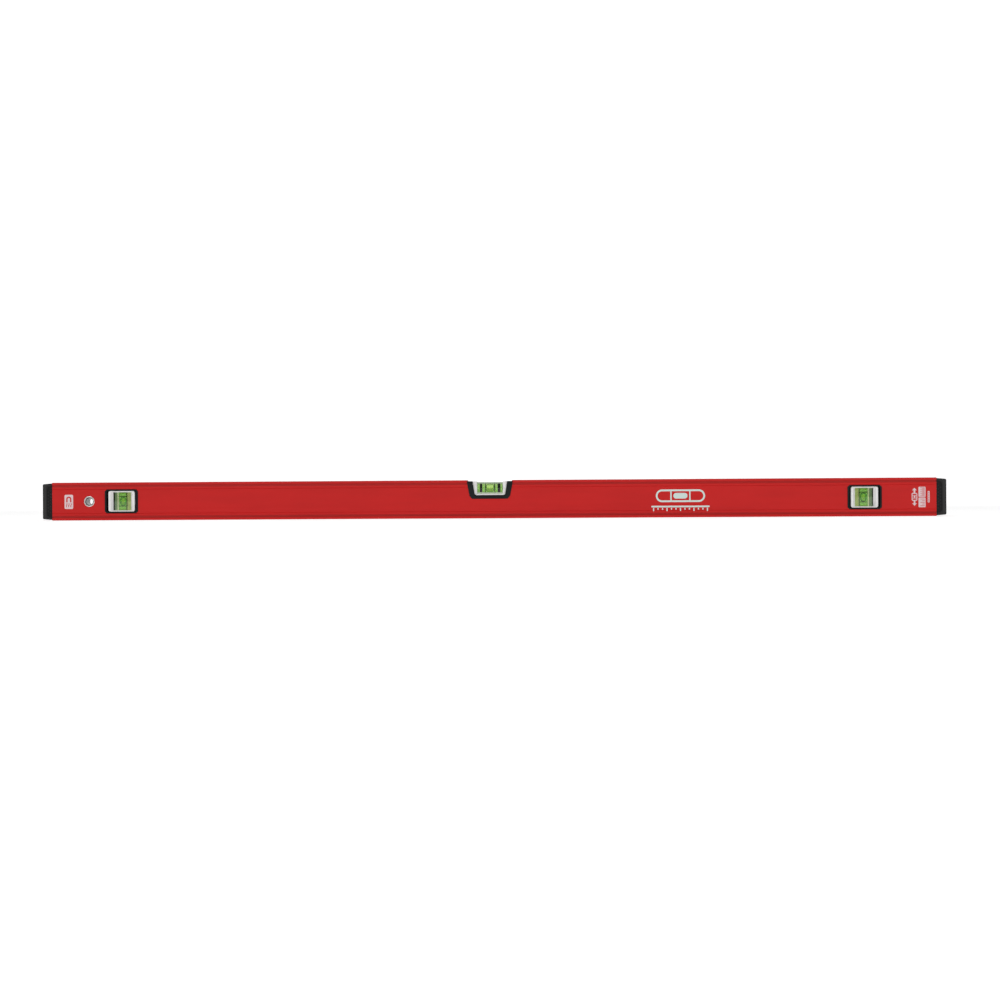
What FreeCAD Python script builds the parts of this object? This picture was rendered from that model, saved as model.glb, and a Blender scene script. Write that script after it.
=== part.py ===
import FreeCAD, Part
import math
import os

# A box-section spirit level: a hollow aluminium beam with two measuring faces, one block vial
# read from the front, the back and the top, two block vials for plumb work, pot magnets in the
# base, an eyelet to hang it by, and a two-part cap pushed into each end.
#
# Frame: X along the beam, -Y towards the reader, Z up. The origin is the middle of the lower
# measuring face. Units are millimetres.

# ---- Driving dimensions ---------------------------------------------------------------------
LENGTH = 1220.0              # over both end caps
HEIGHT = 51.5
DEPTH = 22.0                 # over the lips of the beam
CAP_LENGTH = 13.6            # part of an end cap that shows beyond the beam

BEAM_HALF = LENGTH / 2 - CAP_LENGTH
MID_Z = HEIGHT / 2
LIP_Y = DEPTH / 2
FACE_Y = LIP_Y - 0.6         # the printed face lies below the lips
CUT_THROUGH = 40.0           # longer than the depth, for cuts that go right through

# Outer section of the beam
EDGE_RADIUS = 0.8
BAND_START, BAND_MIDDLE, BAND_END = 3.2, 4.9, 6.6   # heights of the hollow band below the face
BAND_FLOOR_Y = LIP_Y - 1.1
LINE_HEIGHT, LINE_HALF, LINE_DEPTH = 9.35, 0.4, 0.4  # fine V line that borders the face

# Inside of the beam
FLANGE = 3.0                 # thickness under each measuring face
SIDE_CHAMBER_HALF = 8.0
SIDE_CHAMBER_TOP = 7.4
BRIDGE = 1.8                 # thickness of the inner cross walls
WEB = 1.8                    # thickness of the front and back walls
MAIN_CHAMBER_LOW = SIDE_CHAMBER_TOP + BRIDGE
MAIN_CHAMBER_HALF = FACE_Y - WEB
MAIN_CHAMBER_HEIGHT = HEIGHT - 2 * MAIN_CHAMBER_LOW

FIT = 0.1                    # gap on each side between moulded parts and their seats

# Plumb vials
PLUMB_X = 501.3              # distance of each plumb vial from the middle
BEZEL_WIDTH, BEZEL_HEIGHT, BEZEL_CHAMFER = 45.6, 32.4, 2.6
BEZEL_OVERLAP = 0.8          # how far the bezel's rim covers the beam's window
BEZEL_OPENING_WIDTH, BEZEL_OPENING_HEIGHT, BEZEL_OPENING_RADIUS = 40.8, 28.8, 2.8
BEZEL_LEDGE_Y = 5.6          # nearer the middle than this, the bezel grips the carrier's sides
CARRIER_WIDTH, CARRIER_HEIGHT, CARRIER_RADIUS = 36.0, 28.2, 2.7
CARRIER_FRONT_Y = 10.3
CARRIER_MOUTH_WIDTH, CARRIER_MOUTH_HEIGHT = 30.0, 25.6
PLUMB_WINDOW = 24.2
PLUMB_BLOCK_WIDTH, PLUMB_BLOCK_DEPTH, PLUMB_BLOCK_HEIGHT = 27.0, 13.2, 27.4
PLUMB_BARREL_HALF, PLUMB_BARREL_RADIUS, PLUMB_BARREL_END_RADIUS = 12.2, 5.9, 5.7
PLUMB_PLUG_RADIUS = 3.6
PLUMB_LINE_OFFSET, PLUMB_LINE_WIDTH = 6.4, 0.7
PLUMB_BUBBLE_HALF, PLUMB_BUBBLE_RADIUS = 5.9, 4.5

# Main vial
SADDLE_TOP, SADDLE_KNEE, SADDLE_BOTTOM = HEIGHT - 1.4, 30.4, 26.3
SADDLE_TOP_HALF, SADDLE_BOTTOM_HALF = 31.1, 24.1     # half widths of the rim
SADDLE_SLOPE = 0.185         # how fast the sides of the rim close, in mm per mm of depth
SADDLE_CORNER = 1.6
SADDLE_RIM_OVERLAP = 1.2     # how far the rim covers the faces of the beam
HOUSING_TOP, HOUSING_BOTTOM = HEIGHT - 1.6, 31.4
HOUSING_TOP_HALF, HOUSING_SLOPE = 23.3, 0.16
HOUSING_CORNER = 2.5
HOUSING_FRONT_Y = 8.8
REVEAL_GAP, REVEAL_DEPTH = 1.4, 1.6      # dark groove under the housing, front and back
MAIN_BLOCK_HALF, MAIN_BLOCK_DEPTH, MAIN_BLOCK_HEIGHT = 18.9, 14.4, 15.5
MAIN_BLOCK_LOW = 33.3
MAIN_WINDOW_HALF = 17.65
MAIN_BARREL_HALF, MAIN_BARREL_RADIUS, MAIN_BARREL_END_RADIUS = 16.8, 5.85, 5.6
MAIN_PLUG_RADIUS = 4.2
MAIN_LINE_OFFSET, MAIN_LINE_WIDTH = 6.2, 0.8
MAIN_BAND_OFFSET, MAIN_BAND_WIDTH = 11.95, 3.3
MAIN_BUBBLE_HALF, MAIN_BUBBLE_RADIUS = 5.6, 5.3

BLOCK_EDGE = 0.4             # rounding of the long edges of the clear blocks
MARK_THICKNESS = 0.2         # radial thickness of the marker rings in a vial
BUBBLE_GAP = 0.04            # between a bubble and the fluid around it

# Hang hole
HANG_X = -545.5
EYELET_BORE, EYELET_MOUTH, EYELET_TUBE, EYELET_RIM = 4.7, 5.6, 5.9, 7.35     # radii
EYELET_MOUTH_DEPTH = 1.5     # depth of the flared mouth below the face

# Magnets
MAGNET_POSITIONS = (-420.0, -190.0, 190.0, 420.0)
POT_RADIUS, POT_WALL, POT_ROOF = 6.5, 1.3, 2.4
POT_SEAT_GAP = 0.05
MAGNET_RECESS = 0.15         # how far the magnets sit above the measuring face
MAGNET_RADIUS, MAGNET_HEIGHT = 4.9, 4.6

# End caps
CAP_TALL, CAP_SHORT = 49.9, 47.8         # height at the beam and at the outer end
CAP_DEEP, CAP_SHALLOW = 21.2, 19.8       # depth at the beam and at the outer end
CAP_CORNER = 2.2
CAP_EDGE = 1.6
CAP_PLATE_LENGTH, CAP_PLATE_HEIGHT, CAP_PLATE_DEPTH = 4.0, 44.0, 16.0
PLUG_LENGTH, PLUG_WALL, PLUG_GAP = 24.0, 2.2, 0.15
PLUG_RIB_HEIGHT, PLUG_RIB_WIDTH, PLUG_RIB_LENGTH = 0.4, 1.4, 19.0
GRIP_LENGTH, GRIP_LOW, GRIP_FLOOR_Y, GRIP_CORNER = 8.0, 4.7, 9.75, 5.0
STUD_RADIUS, STUD_TIP_RADIUS, STUD_HEIGHT, STUD_PITCH = 1.3, 0.9, 0.45, 4.2
STUD_COLUMNS = (2.4, 5.4)           # distances of the stud columns from the beam
NOSE_HEIGHT, NOSE_DEPTH, NOSE_RECESS, NOSE_CORNER = 34.0, 9.0, 0.8, 4.0

X_AXIS = FreeCAD.Vector(1, 0, 0)
Y_AXIS = FreeCAD.Vector(0, 1, 0)
Z_AXIS = FreeCAD.Vector(0, 0, 1)
PARTS_FOLDER = "parts"


# ---- Shape helpers --------------------------------------------------------------------------
def rounded_wire(corners, place):
    """A closed wire of straight sides. Each corner is (a, b, radius), and place(a, b) puts a
    point of the drawing plane in space."""
    points = [FreeCAD.Vector(a, b, 0) for a, b, _ in corners]
    count = len(corners)
    ends = []
    for i, (_, _, radius) in enumerate(corners):
        here = points[i]
        back = (points[i - 1] - here).normalize()
        ahead = (points[(i + 1) % count] - here).normalize()
        if radius == 0:
            ends.append((here, None, here))
            continue
        half_angle = back.getAngle(ahead) / 2
        reach = radius / math.tan(half_angle)
        bisector = (back + ahead).normalize()
        middle = here + bisector * (radius / math.sin(half_angle) - radius)
        ends.append((here + back * reach, middle, here + ahead * reach))
    edges = []
    for i, (start, middle, finish) in enumerate(ends):
        if middle is not None:
            arc = [place(p.x, p.y) for p in (start, middle, finish)]
            edges.append(Part.Arc(*arc).toShape())
        following = ends[(i + 1) % count][0]
        edges.append(Part.makeLine(place(finish.x, finish.y), place(following.x, following.y)))
    return Part.Wire(edges)


def upright_prism(corners, y_from, y_to):
    """A solid whose outline is drawn in X and Z, and which runs from y_from to y_to."""
    wire = rounded_wire(corners, lambda a, b: FreeCAD.Vector(a, y_from, b))
    return Part.Face(wire).extrude(Y_AXIS * (y_to - y_from))


def lengthwise_prism(corners, x_from, x_to):
    """A solid whose outline is drawn in Y and Z, and which runs from x_from to x_to."""
    wire = rounded_wire(corners, lambda a, b: FreeCAD.Vector(x_from, a, b))
    return Part.Face(wire).extrude(X_AXIS * (x_to - x_from))


def rectangle(width, height, radius, a=0.0, b=0.0):
    """Corners of a rounded rectangle round (a, b)."""
    w, h = width / 2, height / 2
    return [(a - w, b - h, radius), (a + w, b - h, radius),
            (a + w, b + h, radius), (a - w, b + h, radius)]


def cut_corner_rectangle(width, height, cut, radius, a=0.0, b=0.0):
    """Corners of a rectangle with 45 degree corners, softened by a small radius."""
    w, h = width / 2, height / 2
    quarter = [(w, -h + cut), (w, h - cut), (w - cut, h), (-w + cut, h),
               (-w, h - cut), (-w, -h + cut), (-w + cut, -h), (w - cut, -h)]
    return [(a + x, b + z, radius) for x, z in quarter]


def block(x_from, x_to, y_from, y_to, z_from, z_to):
    return Part.makeBox(x_to - x_from, y_to - y_from, z_to - z_from,
                        FreeCAD.Vector(x_from, y_from, z_from))


def spin(edges):
    """The solid that a closed profile, drawn on the XZ plane, sweeps about the X axis."""
    return Part.Face(Part.Wire(edges)).revolve(FreeCAD.Vector(), X_AXIS, 360)


def profile_lines(points):
    """Straight edges through (axial, radial) points."""
    placed = [FreeCAD.Vector(a, 0, r) for a, r in points]
    return [Part.makeLine(p, q) for p, q in zip(placed, placed[1:])]


def soften(shape, keep, radius):
    """Rounds the edges that keep(edge) picks."""
    picked = [edge for edge in shape.Edges if keep(edge)]
    return shape.makeFillet(radius, picked) if picked else shape


def lies_at(edge, axis, value):
    """True if the whole edge lies in the plane where that coordinate has that value."""
    box = edge.BoundBox
    low, high = getattr(box, axis + "Min"), getattr(box, axis + "Max")
    return abs(low - value) < 1e-3 and abs(high - value) < 1e-3


def mirrored_back(shape):
    return shape.mirror(FreeCAD.Vector(), Y_AXIS)


def mirrored_across(shape):
    return shape.mirror(FreeCAD.Vector(), X_AXIS)


# ---- Beam -----------------------------------------------------------------------------------
def section_quarter():
    """Edges of the lower back quarter of the outer section, from the base to mid height."""
    def at(y, z):
        return FreeCAD.Vector(0, y, z)

    knee = EDGE_RADIUS * (1 - math.sqrt(0.5))
    line_low, line_high = LINE_HEIGHT - LINE_HALF, LINE_HEIGHT + LINE_HALF
    return [
        Part.makeLine(at(0, 0), at(LIP_Y - EDGE_RADIUS, 0)),
        Part.Arc(at(LIP_Y - EDGE_RADIUS, 0), at(LIP_Y - knee, knee),
                 at(LIP_Y, EDGE_RADIUS)).toShape(),
        Part.makeLine(at(LIP_Y, EDGE_RADIUS), at(LIP_Y, BAND_START)),
        Part.Arc(at(LIP_Y, BAND_START), at(BAND_FLOOR_Y, BAND_MIDDLE),
                 at(FACE_Y, BAND_END)).toShape(),
        Part.makeLine(at(FACE_Y, BAND_END), at(FACE_Y, line_low)),
        Part.makeLine(at(FACE_Y, line_low), at(FACE_Y - LINE_DEPTH, LINE_HEIGHT)),
        Part.makeLine(at(FACE_Y - LINE_DEPTH, LINE_HEIGHT), at(FACE_Y, line_high)),
        Part.makeLine(at(FACE_Y, line_high), at(FACE_Y, MID_Z)),
    ]


def outer_section():
    lower_back = section_quarter()
    lower = lower_back + [mirrored_back(edge) for edge in lower_back]
    middle = FreeCAD.Vector(0, 0, MID_Z)
    whole = lower + [edge.mirror(middle, Z_AXIS) for edge in lower]
    return Part.Face(Part.Wire(Part.sortEdges(whole)[0]))


def beam_blank():
    """The extrusion before any opening is cut in it."""
    blank = outer_section().extrude(X_AXIS * (2 * BEAM_HALF))
    blank.translate(X_AXIS * -BEAM_HALF)
    side_height = SIDE_CHAMBER_TOP - FLANGE
    side_middle = FLANGE + side_height / 2
    chambers = [
        rectangle(2 * SIDE_CHAMBER_HALF, side_height, 0.8, 0, side_middle),
        rectangle(2 * MAIN_CHAMBER_HALF, MAIN_CHAMBER_HEIGHT, 1.0, 0, MID_Z),
        rectangle(2 * SIDE_CHAMBER_HALF, side_height, 0.8, 0, HEIGHT - side_middle),
    ]
    for chamber in chambers:
        blank = blank.cut(lengthwise_prism(chamber, -BEAM_HALF - 1, BEAM_HALF + 1))
    return blank.removeSplitter()


def plumb_window_size():
    return BEZEL_WIDTH - 2 * BEZEL_OVERLAP, BEZEL_HEIGHT - 2 * BEZEL_OVERLAP


def inset_corners(corners, distance):
    """The corners of an outline drawn anticlockwise, moved inwards by a distance."""
    count = len(corners)
    points = [FreeCAD.Vector(a, b, 0) for a, b, _ in corners]
    result = []
    for i, (a, b, radius) in enumerate(corners):
        back = (points[i] - points[i - 1]).normalize()
        ahead = (points[(i + 1) % count] - points[i]).normalize()
        inwards = FreeCAD.Vector(-back.y - ahead.y, back.x + ahead.x, 0)
        shift = inwards * (2 * distance / inwards.Length ** 2)
        result.append((a + shift.x, b + shift.y, radius))
    return result


def notch_corners(inset):
    """Corners of the tapered notch of the main vial, which is open at the top. The inset is
    measured from the outline of the saddle's rim."""
    above = 2 * HEIGHT - SADDLE_TOP
    knee_half = SADDLE_TOP_HALF - (SADDLE_TOP - SADDLE_KNEE) * SADDLE_SLOPE
    above_half = SADDLE_TOP_HALF + (above - SADDLE_TOP) * SADDLE_SLOPE
    right = [(SADDLE_BOTTOM_HALF, SADDLE_BOTTOM, SADDLE_CORNER),
             (knee_half, SADDLE_KNEE, SADDLE_CORNER), (above_half, above, 0)]
    left = [(-a, b, radius) for a, b, radius in reversed(right)]
    return inset_corners(right + left, inset)


def notch_prism(inset, y_from, y_to):
    return upright_prism(notch_corners(inset), y_from, y_to)


def beam():
    shape = beam_blank()
    cuts = [notch_prism(SADDLE_RIM_OVERLAP, -CUT_THROUGH, CUT_THROUGH),
            notch_prism(-FIT, -CUT_THROUGH, -FACE_Y), notch_prism(-FIT, FACE_Y, CUT_THROUGH)]
    width, height = plumb_window_size()
    for x in (-PLUMB_X, PLUMB_X):
        cuts.append(upright_prism(rectangle(width, height, 2.0, x, MID_Z),
                                  -CUT_THROUGH, CUT_THROUGH))
    cuts.append(Part.makeCylinder(EYELET_TUBE + FIT, 2 * CUT_THROUGH,
                                  FreeCAD.Vector(HANG_X, -CUT_THROUGH, MID_Z), Y_AXIS))
    for x in MAGNET_POSITIONS:
        cuts.append(Part.makeCylinder(POT_RADIUS + POT_SEAT_GAP, FLANGE + 2,
                                      FreeCAD.Vector(x, 0, -1), Z_AXIS))
    return shape.cut(cuts)


# ---- Block vials ----------------------------------------------------------------------------
def barrel(half, middle_radius, end_radius):
    """The barrel-shaped bore of a vial, along X: widest in the middle, so its wall is an arc
    and the bubble always looks for the highest point of it."""
    wall = Part.Arc(FreeCAD.Vector(-half, 0, end_radius), FreeCAD.Vector(0, 0, middle_radius),
                    FreeCAD.Vector(half, 0, end_radius)).toShape()
    left = profile_lines([(-half, 0), (-half, end_radius)])
    right = profile_lines([(half, end_radius), (half, 0), (-half, 0)])
    return spin(left + [wall] + right)


def bubble(half, radius):
    """A bubble with its long axis along X."""
    ellipse = Part.Ellipse(FreeCAD.Vector(), half, radius)
    arc = Part.ArcOfEllipse(ellipse, 0, math.pi).toShape()
    arc.rotate(FreeCAD.Vector(), X_AXIS, 90)
    return spin([arc, Part.makeLine(FreeCAD.Vector(-half, 0, 0), FreeCAD.Vector(half, 0, 0))])


def mark_tools(marks, inner_radius):
    """Flat rings, each (offset, width), wide enough to reach past the wall of the bore."""
    tools = []
    for offset, width in marks:
        low, high = offset - width / 2, offset + width / 2
        outer = 2 * inner_radius
        tools.append(spin(profile_lines([(low, inner_radius), (low, outer), (high, outer),
                                         (high, inner_radius), (low, inner_radius)])))
    return tools


def vial_contents(half, middle_radius, end_radius, marks, bubble_half, bubble_radius,
                  plug_radius, plug_end):
    """What a block vial holds, along X: the bore, its fluid, marker rings, bubble and plug.
    The rings come in the order of the marks."""
    bore = barrel(half, middle_radius, end_radius)
    tools = mark_tools(marks, end_radius - MARK_THICKNESS)
    room = bubble(bubble_half + BUBBLE_GAP, bubble_radius + BUBBLE_GAP)
    return {
        "bore": bore,
        "fluid": bore.cut(tools + [room]),
        "rings": [bore.common(tool) for tool in tools],
        "bubble": bubble(bubble_half, bubble_radius),
        "plug": Part.makeCylinder(plug_radius, plug_end - half, FreeCAD.Vector(half, 0, 0),
                                  X_AXIS),
    }


def stood_up(shape):
    """Turns a shape that lies along X, so that it stands along Z with its plug at the top."""
    turned = shape.copy()
    turned.rotate(FreeCAD.Vector(), Y_AXIS, -90)
    return turned


def moved(shape, x, y, z):
    placed = shape.copy()
    placed.translate(FreeCAD.Vector(x, y, z))
    return placed


# ---- Main vial ------------------------------------------------------------------------------
def housing_prism(grow, bottom, y_from, y_to, top=2 * HEIGHT):
    """The white housing's tapered outline, grown by a gap, from its bottom up to a height."""
    top_half = HOUSING_TOP_HALF + grow + (top - HOUSING_TOP) * HOUSING_SLOPE
    low_half = HOUSING_TOP_HALF + grow - (HOUSING_TOP - bottom) * HOUSING_SLOPE
    corners = [(-top_half, top, 0), (-low_half, bottom, HOUSING_CORNER),
               (low_half, bottom, HOUSING_CORNER), (top_half, top, 0)]
    return upright_prism(corners, y_from, y_to)


def main_vial_saddle():
    """The black U that drops into the notch and covers its edge on both faces."""
    core = notch_prism(SADDLE_RIM_OVERLAP + FIT, -FACE_Y, FACE_Y)
    shape = core.fuse([notch_prism(0, -LIP_Y, -FACE_Y), notch_prism(0, FACE_Y, LIP_Y)])
    shape = shape.cut(block(-LENGTH, LENGTH, -CUT_THROUGH, CUT_THROUGH, SADDLE_TOP, LENGTH))
    shape = soften(shape.removeSplitter(), is_saddle_rim, 0.35)
    opening = housing_prism(FIT, HOUSING_BOTTOM, -CUT_THROUGH, CUT_THROUGH)
    groove_y = HOUSING_FRONT_Y - REVEAL_DEPTH
    grooves = [housing_prism(FIT, HOUSING_BOTTOM - REVEAL_GAP, -CUT_THROUGH, -groove_y),
               housing_prism(FIT, HOUSING_BOTTOM - REVEAL_GAP, groove_y, CUT_THROUGH)]
    return shape.cut([opening] + grooves)


def is_saddle_rim(edge):
    """True for the outline of the saddle's rim, on its front and its back, but not its top."""
    on_face = lies_at(edge, "Y", -LIP_Y) or lies_at(edge, "Y", LIP_Y)
    return on_face and not lies_at(edge, "Z", SADDLE_TOP)


def main_vial_housing():
    """The white carrier of the main vial, open in front, behind and above."""
    shape = housing_prism(0, HOUSING_BOTTOM, -HOUSING_FRONT_Y, HOUSING_FRONT_Y, HOUSING_TOP)
    above = 2 * HEIGHT
    pocket_half = MAIN_BLOCK_HALF + FIT / 2
    pocket_y = MAIN_BLOCK_DEPTH / 2 + FIT / 2
    pocket = block(-pocket_half, pocket_half, -pocket_y, pocket_y, MAIN_BLOCK_LOW, above)
    window = block(-MAIN_WINDOW_HALF, MAIN_WINDOW_HALF, -CUT_THROUGH, CUT_THROUGH,
                   MAIN_BLOCK_LOW, above)
    return soften(shape.cut([pocket, window]), is_window_edge, 0.5)


def is_window_edge(edge):
    """True for the upright edges of the housing's window, on the front and the back."""
    at_window = abs(abs(edge.BoundBox.XMin) - MAIN_WINDOW_HALF) < 1e-3
    at_front = lies_at(edge, "Y", -HOUSING_FRONT_Y) or lies_at(edge, "Y", HOUSING_FRONT_Y)
    return at_window and at_front and edge.BoundBox.XLength < 1e-3


def main_vial():
    """Every piece of the main vial, by node name."""
    lines = [(side * MAIN_LINE_OFFSET, MAIN_LINE_WIDTH) for side in (-1, 1)]
    bands = [(side * MAIN_BAND_OFFSET, MAIN_BAND_WIDTH) for side in (-1, 1)]
    held = vial_contents(MAIN_BARREL_HALF, MAIN_BARREL_RADIUS, MAIN_BARREL_END_RADIUS,
                         lines + bands, MAIN_BUBBLE_HALF, MAIN_BUBBLE_RADIUS,
                         MAIN_PLUG_RADIUS, MAIN_BLOCK_HALF)
    middle = MAIN_BLOCK_LOW + MAIN_BLOCK_HEIGHT / 2
    half_depth = MAIN_BLOCK_DEPTH / 2
    body = block(-MAIN_BLOCK_HALF, MAIN_BLOCK_HALF, -half_depth, half_depth,
                 -MAIN_BLOCK_HEIGHT / 2, MAIN_BLOCK_HEIGHT / 2)
    body = soften(body, lambda edge: edge.BoundBox.XLength > 1, BLOCK_EDGE)
    pieces = {
        "block": body.cut([held["bore"], held["plug"]]), "fluid": held["fluid"],
        "lines": Part.makeCompound(held["rings"][:2]),
        "bands": Part.makeCompound(held["rings"][2:]),
        "bubble": held["bubble"], "plug": held["plug"],
    }
    nodes = {f"main_vial_{name}": moved(shape, 0, 0, middle) for name, shape in pieces.items()}
    nodes["main_vial_saddle"] = main_vial_saddle()
    nodes["main_vial_housing"] = main_vial_housing()
    return nodes


# ---- Plumb vials ----------------------------------------------------------------------------
def plumb_bezel_front():
    """Front half of the black bezel: a rim on the face and a collar through the window."""
    rim = upright_prism(cut_corner_rectangle(BEZEL_WIDTH, BEZEL_HEIGHT, BEZEL_CHAMFER, 0.8),
                        -LIP_Y, -FACE_Y)
    rim = soften(rim, lambda edge: lies_at(edge, "Y", -LIP_Y), 0.3)
    window_width, window_height = plumb_window_size()
    collar = upright_prism(rectangle(window_width - 2 * FIT, window_height - 2 * FIT, 1.9),
                           -FACE_Y, 0)
    opening = upright_prism(rectangle(BEZEL_OPENING_WIDTH, BEZEL_OPENING_HEIGHT,
                                      BEZEL_OPENING_RADIUS), -CUT_THROUGH, -BEZEL_LEDGE_Y)
    grip = upright_prism(rectangle(CARRIER_WIDTH + 2 * FIT, CARRIER_HEIGHT + 2 * FIT,
                                   BEZEL_OPENING_RADIUS), -CUT_THROUGH, 1)
    return rim.fuse(collar).cut([opening, grip])


def plumb_carrier_front():
    """Front half of the white carrier, with a flared window."""
    shape = upright_prism(rectangle(CARRIER_WIDTH, CARRIER_HEIGHT, CARRIER_RADIUS),
                          -CARRIER_FRONT_Y, 0)
    shape = soften(shape, lambda edge: lies_at(edge, "Y", -CARRIER_FRONT_Y), 0.6)
    pocket_y = PLUMB_BLOCK_DEPTH / 2 + FIT / 2
    pocket = block(-PLUMB_BLOCK_WIDTH / 2 - FIT / 2, PLUMB_BLOCK_WIDTH / 2 + FIT / 2,
                   -pocket_y, 1, -PLUMB_BLOCK_HEIGHT / 2 - FIT / 2,
                   PLUMB_BLOCK_HEIGHT / 2 + FIT / 2)
    sides = ((CARRIER_MOUTH_WIDTH, CARRIER_MOUTH_HEIGHT, -CARRIER_FRONT_Y - 0.01),
             (PLUMB_WINDOW, PLUMB_WINDOW, -pocket_y + 0.01))
    wires = [rounded_wire(rectangle(width, height, 0.6),
                          lambda a, b, y=y: FreeCAD.Vector(a, y, b))
             for width, height, y in sides]
    flare = Part.makeLoft(wires, True, True)
    return shape.cut([pocket, flare])


def plumb_vial(side, x):
    """Every piece of one plumb vial, by node name."""
    marks = [(sign * PLUMB_LINE_OFFSET, PLUMB_LINE_WIDTH) for sign in (-1, 1)]
    held = vial_contents(PLUMB_BARREL_HALF, PLUMB_BARREL_RADIUS, PLUMB_BARREL_END_RADIUS,
                         marks, PLUMB_BUBBLE_HALF, PLUMB_BUBBLE_RADIUS, PLUMB_PLUG_RADIUS,
                         PLUMB_BLOCK_HEIGHT / 2)
    half_depth, half_height = PLUMB_BLOCK_DEPTH / 2, PLUMB_BLOCK_HEIGHT / 2
    body = block(-PLUMB_BLOCK_WIDTH / 2, PLUMB_BLOCK_WIDTH / 2, -half_depth, half_depth,
                 -half_height, half_height)
    body = soften(body, lambda edge: edge.BoundBox.ZLength > 1, BLOCK_EDGE)
    body = body.cut([stood_up(held["bore"]), stood_up(held["plug"])])
    bezel, carrier = plumb_bezel_front(), plumb_carrier_front()
    pieces = {
        "bezel_front": bezel, "bezel_rear": mirrored_back(bezel),
        "carrier_front": carrier, "carrier_rear": mirrored_back(carrier), "block": body,
    }
    for name in ("fluid", "bubble", "plug"):
        pieces[name] = stood_up(held[name])
    pieces["lines"] = stood_up(Part.makeCompound(held["rings"]))
    return {f"{side}_plumb_{name}": moved(shape, x, 0, MID_Z)
            for name, shape in pieces.items()}


# ---- Hang hole, magnets ---------------------------------------------------------------------
def hang_eyelet():
    """A tubular rivet through the beam, with a flared mouth and a rolled rim on each face."""
    crest = (EYELET_MOUTH + EYELET_RIM) / 2
    throat_y = FACE_Y - EYELET_MOUTH_DEPTH

    def rolled_rim(sign):
        ends = (EYELET_MOUTH, EYELET_RIM)[::sign]
        points = (sign * FACE_Y, ends[0]), (sign * LIP_Y, crest), (sign * FACE_Y, ends[1])
        return Part.Arc(*[FreeCAD.Vector(a, 0, r) for a, r in points]).toShape()

    bore = profile_lines([(-FACE_Y, EYELET_MOUTH), (-throat_y, EYELET_BORE),
                          (throat_y, EYELET_BORE), (FACE_Y, EYELET_MOUTH)])
    tube = profile_lines([(FACE_Y, EYELET_RIM), (FACE_Y, EYELET_TUBE),
                          (-FACE_Y, EYELET_TUBE), (-FACE_Y, EYELET_RIM)])
    shape = spin(bore + [rolled_rim(1)] + tube + [rolled_rim(-1)])
    shape.rotate(FreeCAD.Vector(), Z_AXIS, 90)
    return moved(shape, HANG_X, 0, MID_Z)


def pot_magnet(number, x):
    """A steel pot glued into the base, and the magnet in it."""
    up = FreeCAD.Vector(x, 0, MAGNET_RECESS)
    height = SIDE_CHAMBER_TOP - MAGNET_RECESS
    pot = Part.makeCylinder(POT_RADIUS, height, up, Z_AXIS)
    pot = pot.cut(Part.makeCylinder(POT_RADIUS - POT_WALL, height - POT_ROOF, up, Z_AXIS))
    pot = soften(pot, lambda edge: lies_at(edge, "Z", MAGNET_RECESS)
                 and abs(edge.BoundBox.XLength - 2 * POT_RADIUS) < 1e-3, 0.3)
    disc = Part.makeCylinder(MAGNET_RADIUS, height - POT_ROOF, up, Z_AXIS)
    disc = soften(disc, lambda edge: lies_at(edge, "Z", MAGNET_RECESS), 0.25)
    return {f"magnet_pot_{number}": pot, f"magnet_{number}": disc}


# ---- End caps -------------------------------------------------------------------------------
def cap_plate_box(grow):
    height, depth = CAP_PLATE_HEIGHT + 2 * grow, CAP_PLATE_DEPTH + 2 * grow
    return lengthwise_prism(rectangle(depth, height, 2.0, 0, MID_Z), BEAM_HALF,
                            BEAM_HALF + CAP_PLATE_LENGTH + grow)


def grip_studs():
    """Rows of small studs on the sunken grip panel at the back of the cap."""
    studs = []
    rows = int((HEIGHT - 2 * GRIP_LOW - 2 * STUD_PITCH) / STUD_PITCH)
    first = MID_Z - (rows - 1) * STUD_PITCH / 2
    for column, offset in enumerate(STUD_COLUMNS):
        stagger = STUD_PITCH / 2 if column % 2 else 0
        for row in range(rows - column % 2):
            place = FreeCAD.Vector(BEAM_HALF + offset, GRIP_FLOOR_Y - 0.1,
                                   first + row * STUD_PITCH + stagger)
            studs.append(Part.makeCone(STUD_RADIUS, STUD_TIP_RADIUS, STUD_HEIGHT + 0.1, place,
                                       Y_AXIS))
    return studs


def end_cap_bumper():
    """The soft outer part of the right end cap."""
    outer_x = BEAM_HALF + CAP_LENGTH
    ends = ((CAP_DEEP, CAP_TALL, BEAM_HALF), (CAP_SHALLOW, CAP_SHORT, outer_x))
    wires = [rounded_wire(rectangle(depth, height, CAP_CORNER, 0, MID_Z),
                          lambda a, b, x=x: FreeCAD.Vector(x, a, b))
             for depth, height, x in ends]
    shape = Part.makeLoft(wires, True, True)
    shape = soften(shape, lambda edge: lies_at(edge, "X", outer_x), CAP_EDGE)
    grip = [(BEAM_HALF - 1, GRIP_LOW, 0), (BEAM_HALF + GRIP_LENGTH, GRIP_LOW, GRIP_CORNER),
            (BEAM_HALF + GRIP_LENGTH, HEIGHT - GRIP_LOW, GRIP_CORNER),
            (BEAM_HALF - 1, HEIGHT - GRIP_LOW, 0)]
    back_grip = upright_prism(grip, GRIP_FLOOR_Y, CUT_THROUGH)
    nose = lengthwise_prism(rectangle(NOSE_DEPTH, NOSE_HEIGHT, NOSE_CORNER, 0, MID_Z),
                            outer_x - NOSE_RECESS, outer_x + 5)
    shape = shape.cut([back_grip, mirrored_back(back_grip), nose, cap_plate_box(0)])
    studs = grip_studs()
    return shape.fuse(studs + [mirrored_back(stud) for stud in studs])


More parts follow.
